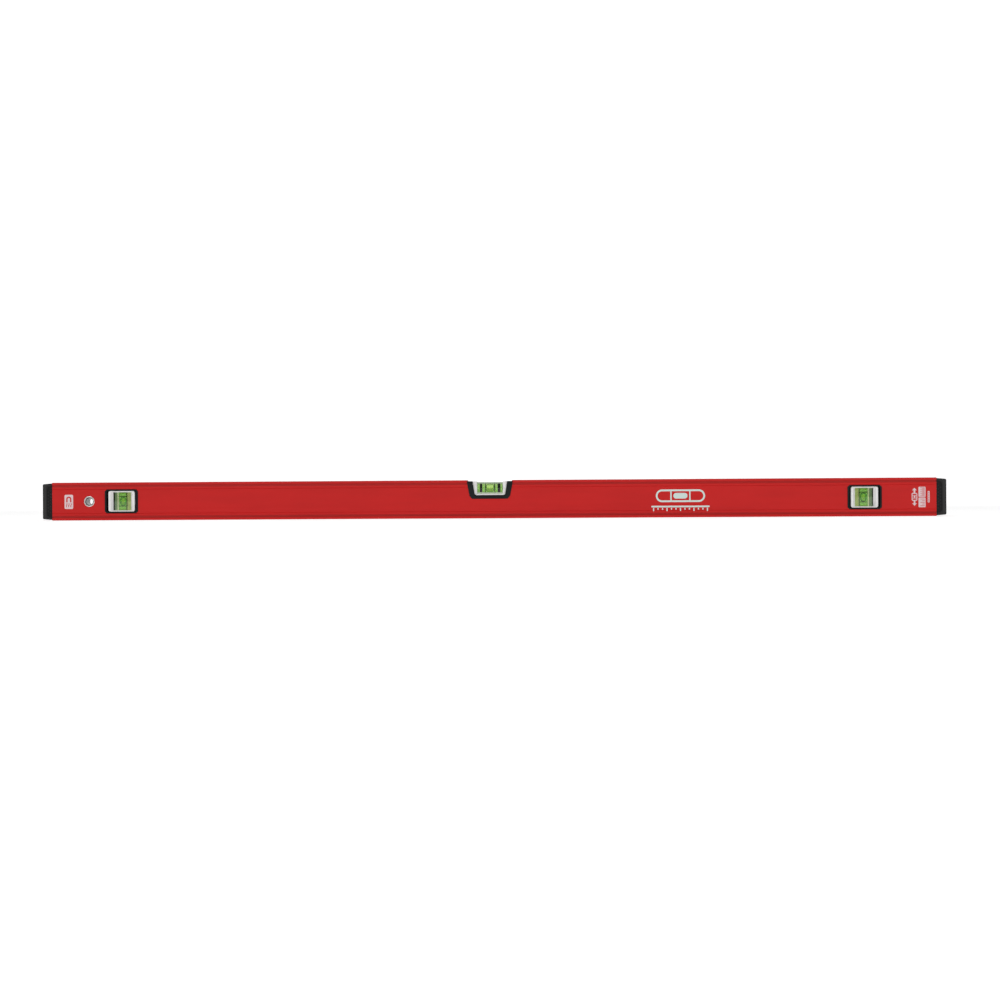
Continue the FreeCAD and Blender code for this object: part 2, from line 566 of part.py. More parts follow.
def end_cap_core():
    """The hard inner part of the right end cap: a plate in the bumper and a hollow plug."""
    tip = BEAM_HALF - PLUG_LENGTH
    full_depth = 2 * (MAIN_CHAMBER_HALF - PLUG_GAP)
    full_height = MAIN_CHAMBER_HEIGHT - 2 * PLUG_GAP
    depth, height = full_depth - 2 * PLUG_RIB_HEIGHT, full_height - 2 * PLUG_RIB_HEIGHT
    plug = lengthwise_prism(rectangle(depth, height, 1.2, 0, MID_Z), tip, BEAM_HALF)
    hollow = lengthwise_prism(rectangle(depth - 2 * PLUG_WALL, height - 2 * PLUG_WALL, 1.0, 0,
                                        MID_Z), tip - 1, BEAM_HALF - PLUG_WALL)
    ribs = []
    rib_end = BEAM_HALF - 1.0
    rib_start = rib_end - PLUG_RIB_LENGTH
    half = PLUG_RIB_WIDTH / 2
    for z in (MID_Z - height / 4, MID_Z + height / 4):
        ribs.append(block(rib_start, rib_end, -full_depth / 2, full_depth / 2, z - half,
                          z + half))
    ribs.append(block(rib_start, rib_end, -half, half, MID_Z - full_height / 2,
                      MID_Z + full_height / 2))
    return plug.fuse(ribs + [cap_plate_box(0)]).cut(hollow).removeSplitter()


# ---- Assembly -------------------------------------------------------------------------------
def all_nodes():
    nodes = {"beam": beam(), "hang_eyelet": hang_eyelet()}
    nodes.update(main_vial())
    for side, sign in (("left", -1), ("right", 1)):
        nodes.update(plumb_vial(side, sign * PLUMB_X))
    for number, x in enumerate(MAGNET_POSITIONS, start=1):
        nodes.update(pot_magnet(number, x))
    bumper, core = end_cap_bumper(), end_cap_core()
    nodes["right_cap_bumper"], nodes["right_cap_core"] = bumper, core
    nodes["left_cap_bumper"] = mirrored_across(bumper)
    nodes["left_cap_core"] = mirrored_across(core)
    return nodes


def main():
    os.makedirs(PARTS_FOLDER, exist_ok=True)
    for name, shape in sorted(all_nodes().items()):
        shape.exportStep(os.path.join(PARTS_FOLDER, name + ".step"))
        print(f"{name}: {len(shape.Solids)} solid, {shape.Volume:.0f} mm3, "
              f"valid {shape.isValid()}")


main()
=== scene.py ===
import math

import bmesh
import bpy
from mathutils import Matrix, Vector


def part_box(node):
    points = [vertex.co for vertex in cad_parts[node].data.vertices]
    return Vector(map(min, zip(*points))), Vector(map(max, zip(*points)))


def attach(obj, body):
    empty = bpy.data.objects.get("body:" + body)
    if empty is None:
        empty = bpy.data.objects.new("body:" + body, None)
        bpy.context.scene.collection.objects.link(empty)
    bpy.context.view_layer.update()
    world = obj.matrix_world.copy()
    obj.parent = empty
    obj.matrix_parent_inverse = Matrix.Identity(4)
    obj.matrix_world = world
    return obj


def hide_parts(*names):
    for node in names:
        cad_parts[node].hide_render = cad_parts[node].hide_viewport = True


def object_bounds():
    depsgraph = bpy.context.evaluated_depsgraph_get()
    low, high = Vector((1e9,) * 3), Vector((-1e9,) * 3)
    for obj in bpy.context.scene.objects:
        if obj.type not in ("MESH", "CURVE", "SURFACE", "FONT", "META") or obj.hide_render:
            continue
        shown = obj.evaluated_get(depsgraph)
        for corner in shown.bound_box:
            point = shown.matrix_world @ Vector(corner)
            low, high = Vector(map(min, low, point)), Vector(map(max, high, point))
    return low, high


# Looks of a red box-section spirit level: coated aluminium, moulded trim, block vials with their
# fluid and bubbles, prints on the front face, and the studio it is shown in.
# Lengths are in metres, in the frame of the CAD model.

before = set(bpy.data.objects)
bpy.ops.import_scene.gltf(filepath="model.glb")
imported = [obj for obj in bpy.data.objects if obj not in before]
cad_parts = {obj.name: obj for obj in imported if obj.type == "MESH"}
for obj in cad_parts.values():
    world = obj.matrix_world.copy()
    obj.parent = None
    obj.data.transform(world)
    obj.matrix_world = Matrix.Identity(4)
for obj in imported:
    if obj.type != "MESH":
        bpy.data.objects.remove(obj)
cad_low, cad_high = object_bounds()

MM = 0.001
BODY = "level_body"

# ---- Sizes that the looks need beside the CAD boxes ---------------------------------------------
FACE_DEPTH = 0.6 * MM            # the printed faces lie this far below the lips of the beam
WALL_INSIDE = 2.3 * MM           # nearer the middle than this below the lips, the metal is bare
FLANGE_INSIDE = 2.8 * MM         # and nearer than this below the measuring faces
GROOVE_START = 3.2 * MM          # the shallow grooves along the faces, from the measuring faces
GROOVE_END = 6.6 * MM
SAWN_END = 0.005 * MM            # thickness of the bare layer at the sawn ends of the beam
GRIP_LENGTH = 8.0 * MM           # the grip recesses of the caps, from the end of the beam
GRIP_FLOOR = 9.80 * MM           # their floor is nearer the middle than this
INK_THICKNESS = 0.06 * MM
EYELET_THROAT = 4.9 * MM         # nearer the axis than this the eyelet's bore is painted dark, as shade

BLOCK_EDGE = 0.35 * MM           # rounding of the clear blocks
FLUID_GAP = 0.03 * MM            # the fluid stays this far inside the marker rings' outside
BARREL_END_RATIO = 0.96          # radius of a vial's bore at its ends over that in its middle
MAIN_BLUNTNESS = 3.2             # 2 gives an elliptic bubble, more a blunter one
PLUMB_BLUNTNESS = 2.5

# ---- Colours, linear ----------------------------------------------------------------------------
COAT_RED = (0.575, 0.0120, 0.0112)
COAT_RED_DEEP = (0.540, 0.0112, 0.0105)
COAT_RUBBED = (0.560, 0.040, 0.034)
# painted shade for the grooves along the faces of the beam
COAT_PAINTED_SHADE = (0.385, 0.0085, 0.0070)
BARE_ALUMINIUM = (0.74, 0.75, 0.76)
TRIM_BLACK = (0.0035, 0.0070, 0.0075)
TRIM_GREY = (0.0070, 0.0110, 0.0115)
# painted shade for trim that lies well below the faces of the beam
TRIM_PAINTED_SHADE = (0.0010, 0.0012, 0.0013)
RUBBER_BLACK = (0.0180, 0.0185, 0.0190)
# painted shade in the caps' grip recesses and on their rounded ends
RUBBER_PAINTED_SHADE = (0.0060, 0.0064, 0.0066)
# painted light on the caps' noses
RUBBER_PAINTED_LIGHT = (0.0290, 0.0290, 0.0295)
# painted shadow along the caps' joint with the beam
RUBBER_JOINT_SHADOW = (0.0030, 0.0065, 0.0068)
RUBBER_SCUFFED = (0.0400, 0.0400, 0.0405)
NYLON_BLACK = (0.0170, 0.0175, 0.0190)
ABS_WHITE = (0.880, 0.885, 0.880)
ABS_SHADED = (0.820, 0.825, 0.815)
INK_WHITE = (0.760, 0.610, 0.630)
INK_THIN = (0.720, 0.540, 0.560)
INK_COOL = (0.640, 0.780, 0.740)
INK_COOL_THIN = (0.620, 0.700, 0.660)
MARK_BLACK = (0.006, 0.008, 0.006)
# The next six are painted shade and a painted highlight in the front of the plumb blocks.
PAINTED_SHADE_NEAR = (0.0190, 0.0400, 0.0100)
PAINTED_SHADE_FAR = (0.0080, 0.0200, 0.0040)
OLIVE = (0.0900, 0.1350, 0.0150)
OLIVE_DEEP = (0.0600, 0.0900, 0.0080)
PAINTED_HIGHLIGHT_EDGE = (0.1700, 0.2300, 0.0500)
PAINTED_SHADE_EDGE = (0.0100, 0.0090, 0.0060)
CLEAR_MIDDLE = (0.1100, 0.1550, 0.0740)
CLEAR_BACK = (0.900, 0.930, 0.860)
# painted shade above and below the main vial's bore
MAIN_PAINTED_SHADE = (0.330, 0.410, 0.280)
MAIN_PAINTED_SHADE_DEEP = (0.290, 0.370, 0.250)
MAIN_CLEAR = (0.430, 0.470, 0.370)
PLUMB_GREEN = (0.520, 0.950, 0.260)
PLUMB_GREEN_SECOND = (0.480, 0.920, 0.230)
# painted shade near the ends of the plumb vials' bores
PLUMB_GREEN_PAINTED_SHADE = (0.360, 0.700, 0.080)
# the main fluid is painted paler towards the top, as lit
MAIN_GREEN = (0.640, 0.970, 0.380)
MAIN_GREEN_LOW = (0.430, 0.900, 0.170)
MAIN_AIR = (1.000, 1.000, 0.900)
# painted shade in the lower part of the main bubble
MAIN_AIR_PAINTED_SHADE = (0.780, 0.700, 0.420)
# a painted glow of the main bubble, which is no lamp
MAIN_PAINTED_GLOW = (0.200, 0.170, 0.120)
NO_PAINTED_GLOW = (0.0, 0.0, 0.0)
# teal painted shade at the main bubble's ends
MAIN_END_PAINTED_SHADE = (0.180, 0.560, 0.300)
PLUMB_AIR = (1.000, 0.950, 0.600)
# painted shade on the plumb bubbles' flanks
PLUMB_FLANK_PAINTED_SHADE = (0.220, 0.520, 0.420)
NICKEL = (0.72, 0.71, 0.69)
NICKEL_TARNISHED = (0.50, 0.49, 0.47)
# painted shade in the eyelet's bore
BORE_PAINTED_SHADE = (0.160, 0.160, 0.160)
ZINC = (0.60, 0.61, 0.63)
ZINC_DULL = (0.48, 0.49, 0.52)
MAGNET_WORN = (0.64, 0.63, 0.60)
PLUG_CLEAR = (0.90, 0.92, 0.84)
PLUG_YELLOWED = (0.84, 0.87, 0.76)

# ---- Optics --------------------------------------------------------------------------------------
# The fluid's, the bubble's and the plug's are ratios to what is round them. The bubble's is nearer
# 1 than the real one, so its outline stays thin.
IOR_ACRYLIC = 1.49
IOR_FLUID_IN_ACRYLIC = 0.955
IOR_BUBBLE_IN_FLUID = 0.93
IOR_PLUG = 1.03
HAZE = 0.03                       # the most that wear roughens a clear surface

# ---- Places of the prints, in millimetres: X, and the rise above mid height ----------------------
MAGNET_LABEL_X, MAGNET_LABEL_RISE = -573.6, -0.4
EMBLEM_X = 256.0
PLUMB_SIGN_X = 567.3
RULE_LABEL_X, RULE_LABEL_RISE = 577.3, -0.6
DASHED_BAR_X = 586.1

# ---- Light and camera ----------------------------------------------------------------------------
FLOOR_GLOW = 0.43                 # light that the floor gives off near the level
WALL_GLOW = 0.64                  # and the wall behind it
GLOW_CHANGES = (1.5, 4.6)         # the Y between which the one becomes the other
AIR_GLOW = 0.25
CAMERA_DISTANCE = 2.0             # from the front face
CAMERA_YAW = math.radians(1.97)   # the right end is a little nearer
CAMERA_ROLL = math.radians(0.325)
VIEW_WIDTH = 1.3477               # what the picture spans at the front face
VIEW_MIDDLE = (13.7 * MM, -1.15 * MM)     # middle of the picture from the middle of the face
SENSOR_WIDTH = 36.0


# ---- Shader helpers -----------------------------------------------------------------------------
class Shader:
    """A material under construction. Each method adds a node and returns its output socket."""

    def __init__(self, name):
        self.material = bpy.data.materials.new(name)
        self.material.use_nodes = True
        self.tree = self.material.node_tree
        self.surface = self.tree.nodes["Principled BSDF"]
        self.output = self.tree.nodes["Material Output"]

    def add(self, kind, **settings):
        node = self.tree.nodes.new(kind)
        for key, value in settings.items():
            setattr(node, key, value)
        return node

    def feed(self, socket, value):
        """Links a socket to the input, or sets the input's own value."""
        if isinstance(value, bpy.types.NodeSocket):
            self.tree.links.new(value, socket)
        elif isinstance(value, tuple) and len(value) == 3 and socket.type == "RGBA":
            socket.default_value = (*value, 1.0)
        else:
            socket.default_value = value

    def set(self, **inputs):
        """Sets inputs of the Principled shader, such as roughness or base_color."""
        for key, value in inputs.items():
            self.feed(self.surface.inputs[INPUT_NAMES[key]], value)

    def place(self, stretch=(1, 1, 1), offset=(0, 0, 0)):
        """Object coordinates less an offset, stretched. Lengths are metres times the stretch."""
        coordinates = self.add("ShaderNodeTexCoord").outputs["Object"]
        shifted = self.add("ShaderNodeVectorMath", operation="SUBTRACT")
        self.feed(shifted.inputs[0], coordinates)
        self.feed(shifted.inputs[1], offset)
        scaled = self.add("ShaderNodeVectorMath", operation="MULTIPLY")
        self.feed(scaled.inputs[0], shifted.outputs[0])
        self.feed(scaled.inputs[1], stretch)
        return scaled.outputs[0]

    def noise(self, per_metre, detail=2.0, roughness=0.5):
        """Noise with so many features per metre, the same each way or as (x, y, z)."""
        stretch = per_metre if isinstance(per_metre, tuple) else (per_metre,) * 3
        node = self.add("ShaderNodeTexNoise")
        self.feed(node.inputs["Vector"], self.place(stretch))
        self.feed(node.inputs["Scale"], 1.0)
        self.feed(node.inputs["Detail"], detail)
        self.feed(node.inputs["Roughness"], roughness)
        return node.outputs["Fac"]

    def cells(self, per_metre):
        """The distance to the middle of the nearest of so many cells per metre."""
        node = self.add("ShaderNodeTexVoronoi", feature="F1")
        self.feed(node.inputs["Vector"], self.place((per_metre,) * 3))
        self.feed(node.inputs["Scale"], 1.0)
        return node.outputs["Distance"]

    def maths(self, operation, *values):
        """The result of a Math node's operation."""
        node = self.add("ShaderNodeMath", operation=operation)
        for socket, value in zip(node.inputs, values):
            self.feed(socket, value)
        return node.outputs[0]

    def axes(self, offset=(0, 0, 0)):
        """The X, Y and Z object coordinates."""
        node = self.add("ShaderNodeSeparateXYZ")
        self.feed(node.inputs[0], self.place(offset=offset))
        return node.outputs[0], node.outputs[1], node.outputs[2]

    def between(self, value, low, high, to_low=0.0, to_high=1.0):
        """A smooth step: to_low below low, to_high above high."""
        node = self.add("ShaderNodeMapRange", interpolation_type="SMOOTHSTEP")
        for socket, amount in zip(node.inputs, (value, low, high, to_low, to_high)):
            self.feed(socket, amount)
        return node.outputs[0]

    def blend(self, factor, first, second):
        """A colour between two colours."""
        node = self.add("ShaderNodeMix", data_type="RGBA")
        self.feed(node.inputs[0], factor)
        self.feed(node.inputs[6], first)
        self.feed(node.inputs[7], second)
        return node.outputs[2]

    def mix(self, factor, first, second):
        """A number between two numbers."""
        node = self.add("ShaderNodeMix", data_type="FLOAT")
        self.feed(node.inputs[0], factor)
        self.feed(node.inputs[2], first)
        self.feed(node.inputs[3], second)
        return node.outputs[0]

    def relief(self, height, depth, under=None):
        """A bump of so many metres from a height between 0 and 1."""
        node = self.add("ShaderNodeBump")
        self.feed(node.inputs["Height"], height)
        self.feed(node.inputs["Distance"], depth)
        if under is not None:
            self.feed(node.inputs["Normal"], under)
        return node.outputs["Normal"]


INPUT_NAMES = {
    "base_color": "Base Color", "metallic": "Metallic", "roughness": "Roughness", "ior": "IOR",
    "normal": "Normal", "specular": "Specular IOR Level", "transmission": "Transmission Weight",
    "emission": "Emission Color", "emission_strength": "Emission Strength",
}


# ---- Materials ----------------------------------------------------------------------------------
def beam_coat():
    """Satin red powder coat, bare metal in the hollow and on the sawn ends."""
    m = Shader("beam_coat")
    low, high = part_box("beam")
    half_height = (high.z - low.z) / 2
    x, y, z = m.axes(offset=(0, 0, (low.z + high.z) / 2))
    length, depth, height = m.maths("ABSOLUTE", x), m.maths("ABSOLUTE", y), m.maths("ABSOLUTE", z)
    inside = m.maths("MULTIPLY", m.maths("LESS_THAN", depth, high.y - WALL_INSIDE),
                     m.maths("LESS_THAN", height, half_height - FLANGE_INSIDE))
    sawn = m.maths("GREATER_THAN", length, high.x - SAWN_END)
    bare = m.maths("MAXIMUM", inside, sawn)
    coat = coat_colour(m, depth, height, high.y, half_height)
    streak = m.noise((4, 2600, 2600), detail=2)
    coat_roughness = m.between(m.noise((30, 400, 400), detail=3), 0.3, 0.7, 0.40, 0.52)
    metal_roughness = m.between(streak, 0.3, 0.7, 0.28, 0.46)
    drawn = m.relief(m.maths("MULTIPLY", streak, bare), 0.006 * MM)
    m.set(base_color=m.blend(bare, coat, BARE_ALUMINIUM), metallic=bare, specular=0.24,
          roughness=m.mix(bare, coat_roughness, metal_roughness),
          normal=m.relief(m.noise(1900, detail=1), 0.008 * MM, under=drawn))
    return m.material


def coat_colour(m, depth, height, half_depth, half_height):
    """Softly clouded red with painted shade in the grooves along the faces, rubbed pale at the
    corners.
    depth and height are distances from the middle of the beam."""
    cloud = m.noise((9, 60, 60), detail=3)
    coat = m.blend(m.between(cloud, 0.35, 0.65), COAT_RED, COAT_RED_DEEP)
    from_edge = m.maths("SUBTRACT", half_height, height)
    groove = m.maths("MULTIPLY",
                     m.between(from_edge, GROOVE_START - 0.2 * MM, GROOVE_START + 0.2 * MM),
                     m.between(from_edge, GROOVE_END - 1.2 * MM, GROOVE_END + 0.3 * MM, 1.0, 0.0))
    front_or_back = m.maths("GREATER_THAN", depth, half_depth - 1.2 * MM)
    # The grooves in the front and back faces get a painted shade.
    coat = m.blend(m.maths("MULTIPLY", groove, front_or_back), coat, COAT_PAINTED_SHADE)
    corner = m.maths("MULTIPLY", m.between(depth, half_depth - 0.9 * MM, half_depth - 0.2 * MM),
                     m.between(height, half_height - 0.9 * MM, half_height - 0.2 * MM))
    wear = m.between(m.noise((90, 700, 700), detail=4), 0.42, 0.72)
    return m.blend(m.maths("MULTIPLY", corner, wear), coat, COAT_RUBBED)


def moulded(name, colour, second, roughness, grain_per_metre, grain_depth, specular=0.22,
            deep=None):
    """Moulded plastic or rubber: two close shades, uneven gloss and a fine mould grain. The deep
    colour is a painted shade on what lies well below the faces of the beam."""
    m = Shader(name)
    shade = m.blend(m.between(m.noise(70, detail=4), 0.35, 0.7), colour, second)
    if deep is not None:
        # deep is a painted shade for what lies well below the faces of the beam.
        _, y, _ = m.axes()
        depth = m.maths("ABSOLUTE", y)
        nearness = m.between(depth, cad_high.y - 1.6 * MM, cad_high.y - 0.7 * MM)
        shade = m.blend(nearness, deep, shade)
    gloss = m.between(m.noise(260, detail=3), 0.3, 0.7, roughness - 0.06, roughness + 0.08)
    grain = m.noise(grain_per_metre, detail=2, roughness=0.6)
    m.set(base_color=shade, roughness=gloss, specular=specular,
          normal=m.relief(grain, grain_depth))
    return m.material


def scuffed_rubber():
    """The caps' rubber: painted shade in the grip recesses and on the rounded end, a painted
    shadow along the joint with the beam, painted light on the nose, a coarse grain, and scuffs
    where the ends get knocked."""
    m = Shader("cap_rubber")
    x, y, _ = m.axes()
    length, depth = m.maths("ABSOLUTE", x), m.maths("ABSOLUTE", y)
    beam_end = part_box("beam")[1].x
    nose_start = beam_end + GRIP_LENGTH
    nose = m.between(length, nose_start, nose_start + 0.6 * MM)
    recess = m.maths("MULTIPLY", m.between(length, nose_start - 0.2 * MM, nose_start, 1.0, 0.0),
                     m.between(depth, GRIP_FLOOR, GRIP_FLOOR + 0.12 * MM, 1.0, 0.0))
    joint = m.between(length, beam_end + 1.0 * MM, beam_end + 1.6 * MM, 1.0, 0.0)
    rounding = m.between(length, cad_high.x - 1.6 * MM, cad_high.x - 0.9 * MM)
    # Painted light on the nose; painted shade in the recess and on the rounded end; a painted
    # shadow along the joint with the beam.
    shade = m.blend(nose, RUBBER_BLACK, RUBBER_PAINTED_LIGHT)
    shade = m.blend(m.maths("MAXIMUM", recess, rounding), shade, RUBBER_PAINTED_SHADE)
    shade = m.blend(joint, shade, RUBBER_JOINT_SHADOW)
    outer = m.between(length, cad_high.x - 5 * MM, cad_high.x)
    scuff = m.between(m.noise((500, 900, 260), detail=5, roughness=0.65), 0.52, 0.74)
    worn = m.maths("MULTIPLY", scuff, m.maths("ADD", 0.15, m.maths("MULTIPLY", outer, 0.6)))
    grain = m.noise(2300, detail=3, roughness=0.6)
    m.set(base_color=m.blend(worn, shade, RUBBER_SCUFFED), specular=0.22,
          roughness=m.between(worn, 0.0, 1.0, 0.50, 0.78), normal=m.relief(grain, 0.030 * MM))
    return m.material


def turned_nickel():
    """Nickel on a turned eyelet: fine rings about the axis of the hang hole, and painted shade in
    the bore.
    """
    m = Shader("eyelet_nickel")
    low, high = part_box("hang_eyelet")
    middle = (low + high) / 2
    x, _, z = m.axes(offset=(middle.x, 0, middle.z))
    radius = m.maths("SQRT", m.maths("ADD", m.maths("MULTIPLY", x, x), m.maths("MULTIPLY", z, z)))
    rings = m.maths("SINE", m.maths("MULTIPLY", radius, 2 * math.pi / (0.16 * MM)))
    tarnish = m.noise(420, detail=4)
    rim = m.blend(m.between(tarnish, 0.5, 0.8, 0.0, 0.4), NICKEL, NICKEL_TARNISHED)
    # The bore is painted dark, as shaded.
    bore = m.between(radius, EYELET_THROAT, EYELET_THROAT + 0.9 * MM)
    m.set(base_color=m.blend(bore, BORE_PAINTED_SHADE, rim), metallic=m.between(bore, 0, 1, 0.5, 1.0),
          roughness=m.between(tarnish, 0.3, 0.7, 0.20, 0.36),
          normal=m.relief(rings, 0.0012 * MM))
    return m.material


def plated(name, colour, second, roughness, spangle_per_metre):
    """Plated steel with a faint spangle and hairline scratches."""
    m = Shader(name)
    spangle = m.between(m.cells(spangle_per_metre), 0.2, 0.8)
    scratch = m.between(m.noise((6000, 300, 300), detail=2), 0.62, 0.70)
    m.set(base_color=m.blend(spangle, colour, second), metallic=1.0,
          roughness=m.between(m.noise(500, detail=3), 0.3, 0.7, roughness, roughness + 0.16),
          normal=m.relief(scratch, 0.002 * MM))
    return m.material


def ink(name, colour, thin):
    """Screen-printed ink, a little uneven in cover."""
    m = Shader(name)
    cover = m.between(m.noise(1500, detail=3), 0.52, 0.78)
    m.set(base_color=m.blend(cover, colour, thin), specular=0.3, roughness=0.5,
          normal=m.relief(m.noise(3800, detail=1), 0.004 * MM))
    return m.material


def clear(name, colour_of, ior, painted_glow_of=None):
    """A clear body or liquid. The ior is relative to what is round it. Lamps shine through it,
    tinted. colour_of builds the tint and the other function a painted glow that it gives off,
    in the material's own nodes."""
    m = Shader(name)
    colour = colour_of(m)
    worn = m.between(m.noise(900, detail=4), 0.45, 0.75, 0.0, HAZE)
    m.set(base_color=colour, roughness=worn, ior=ior, transmission=1.0)
    # The emission is a painted glow.
    if painted_glow_of is not None:
        m.set(emission=painted_glow_of(m), emission_strength=1.0)
    lamp = m.add("ShaderNodeLightPath").outputs["Is Shadow Ray"]
    through = m.add("ShaderNodeBsdfTransparent")
    m.feed(through.inputs["Color"], colour)
    either = m.add("ShaderNodeMixShader")
    m.feed(either.inputs[0], lamp)
    m.feed(either.inputs[1], m.surface.outputs[0])
    m.feed(either.inputs[2], through.outputs[0])
    m.feed(m.output.inputs["Surface"], either.outputs[0])
    return m.material


def drifting(tint, second):
    """A tint that varies a little from place to place, as in cast acrylic or dyed spirit."""
    return lambda m: m.blend(m.between(m.noise(120, detail=2), 0.3, 0.7), tint, second)


def plumb_block_tint(m):
    """Acrylic with painted shade and a painted highlight in its front half: painted shade in dark
    green-grey on the side of the level's end and in olive on the other, a painted highlight on
    one edge of the bore and a painted dark edge on the other. The back half is nearly clear."""
    x, y, _ = m.axes()
    low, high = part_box("right_plumb_fluid")
    middle, radius = (low.x + high.x) / 2, (high.x - low.x) / 2
    outward = m.maths("SUBTRACT", m.maths("ABSOLUTE", x), middle)
    drift = m.between(m.noise(160, detail=2), 0.3, 0.7)
    # Painted shade: dark green-grey outward, olive inward.
    outer = m.blend(m.between(outward, radius, radius + 6 * MM), PAINTED_SHADE_NEAR, PAINTED_SHADE_FAR)
    inner = m.blend(drift, OLIVE, OLIVE_DEEP)
    sides = m.blend(m.between(outward, -1 * MM, 1 * MM), inner, outer)
    pale = m.maths("MULTIPLY", m.between(outward, radius - 0.8 * MM, radius - 0.4 * MM),
                   m.between(outward, radius + 0.2 * MM, radius + 0.8 * MM, 1.0, 0.0))
    dark = m.maths("MULTIPLY", m.between(outward, -radius - 1.5 * MM, -radius - 1.1 * MM),
                   m.between(outward, -radius + 0.1 * MM, -radius + 0.4 * MM, 1.0, 0.0))
    # A painted highlight on one edge of the bore and painted shade on the other.
    sides = m.blend(pale, sides, PAINTED_HIGHLIGHT_EDGE)
    sides = m.blend(dark, sides, PAINTED_SHADE_EDGE)
    bore = m.between(m.maths("ABSOLUTE", outward), radius - 0.9 * MM, radius - 0.3 * MM, 1.0, 0.0)
    front = m.maths("LESS_THAN", y, 0.0)
    patterned = m.blend(bore, sides, CLEAR_MIDDLE)
    # Only the front half carries the painted shade and highlight.
    return m.blend(front, CLEAR_BACK, patterned)


def main_block_tint(m):
    """Clear acrylic with painted shade above and below the bore."""
    _, _, z = m.axes()
    low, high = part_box("main_vial_fluid")
    middle, radius = (low.z + high.z) / 2, (high.z - low.z) / 2
    away = m.maths("ABSOLUTE", m.maths("SUBTRACT", z, middle))
    drift = m.between(m.noise(160, detail=2), 0.3, 0.7)
    painted_shade = m.blend(drift, MAIN_PAINTED_SHADE, MAIN_PAINTED_SHADE_DEEP)
    # Above and below the bore the tint turns to the painted shade.
    return m.blend(m.between(away, radius - 0.4 * MM, radius + 0.2 * MM), MAIN_CLEAR, painted_shade)


def plumb_bubble_tint(node):
    """Painted shade on a bubble's flanks between its front and its back, where light grazes it."""
    def colour(m):
        low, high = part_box(node)
        middle, radius = (low + high) / 2, (high.y - low.y) / 2
        _, y, _ = m.axes(offset=tuple(middle))
        facing = m.maths("DIVIDE", m.maths("ABSOLUTE", y), radius)
        wander = m.maths("MULTIPLY", m.maths("SUBTRACT", m.noise(400), 0.5), 0.15)
        # Painted shade on the flanks.
        return m.blend(m.between(m.maths("ADD", facing, wander), 0.62, 0.82), PLUMB_FLANK_PAINTED_SHADE,
                       PLUMB_AIR)
    return colour


def main_bubble_tint(m):
    """Painted light above and painted shade below, and a teal painted shade at the two ends."""
    low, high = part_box("main_vial_bubble")
    middle, radius = (low + high) / 2, (high.z - low.z) / 2
    x, _, z = m.axes(offset=tuple(middle))
    wander = m.maths("MULTIPLY", m.maths("SUBTRACT", m.noise(300), 0.5), 1.2 * MM)
    # Painted light above, painted shade below.
    core = m.blend(m.between(m.maths("ADD", z, wander), -0.45 * radius, 0.35 * radius),
                   MAIN_AIR_PAINTED_SHADE, MAIN_AIR)
    to_end = m.maths("DIVIDE", m.maths("ABSOLUTE", x), (high.x - low.x) / 2)
    # Teal painted shade at the ends.
    return m.blend(m.between(to_end, 0.80, 0.97), core, MAIN_END_PAINTED_SHADE)


def main_bubble_painted_glow(m):
    """A painted glow that the bubble gives off, though it is no lamp, in a band a little above its
    middle.
    """
    low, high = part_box("main_vial_bubble")
    middle, radius = (low + high) / 2, (high.z - low.z) / 2
    x, _, z = m.axes(offset=tuple(middle))
    to_end = m.maths("DIVIDE", m.maths("ABSOLUTE", x), (high.x - low.x) / 2)
    band = m.maths("MULTIPLY", m.between(z, -0.15 * radius, 0.10 * radius),
                   m.between(z, 0.20 * radius, 0.70 * radius, 1.0, 0.35))
    inside = m.between(to_end, 0.70, 0.88, 1.0, 0.0)
    return m.blend(m.maths("MULTIPLY", band, inside), NO_PAINTED_GLOW, MAIN_PAINTED_GLOW)


def main_fluid_tint(m):
    """Green spirit with painted light: paler towards the top of the vial."""
    _, _, z = m.axes()
    low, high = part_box("main_vial_fluid")
    middle, radius = (low.z + high.z) / 2, (high.z - low.z) / 2
    drift = m.maths("MULTIPLY", m.noise(120, detail=2), 1.5 * MM)
    level = m.maths("ADD", z, drift)
    # Painted light: paler towards the top.
    return m.blend(m.between(level, middle - 0.6 * radius, middle + radius), MAIN_GREEN_LOW,
                   MAIN_GREEN)


def plumb_fluid_tint(m):
    """Green spirit with painted shade near the ends of the bore."""
    _, _, z = m.axes()
    low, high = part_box("right_plumb_fluid")
    middle, half = (low.z + high.z) / 2, (high.z - low.z) / 2
    away = m.maths("ABSOLUTE", m.maths("SUBTRACT", z, middle))
    drift = m.between(m.noise(120, detail=2), 0.3, 0.7)
    green = m.blend(drift, PLUMB_GREEN, PLUMB_GREEN_SECOND)
    # Painted shade near the ends of the bore.
    return m.blend(m.between(away, half - 2.2 * MM, half - 1.7 * MM), green, PLUMB_GREEN_PAINTED_SHADE)


def studio_white():
    """Matte white that gives off some light of its own, more on the wall than on the floor."""
    m = Shader("studio_white")
    _, y, _ = m.axes()
    m.set(base_color=(0.92, 0.92, 0.92), roughness=0.9, specular=0.0, emission=(1.0, 1.0, 1.0),
          emission_strength=m.between(y, *GLOW_CHANGES, FLOOR_GLOW, WALL_GLOW))
    return m.material


def dress(material, *endings):
    """Gives a material to every CAD node whose name ends in one of these."""
    for name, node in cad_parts.items():
        if name.endswith(endings):
            node.data.materials.clear()
            node.data.materials.append(material)


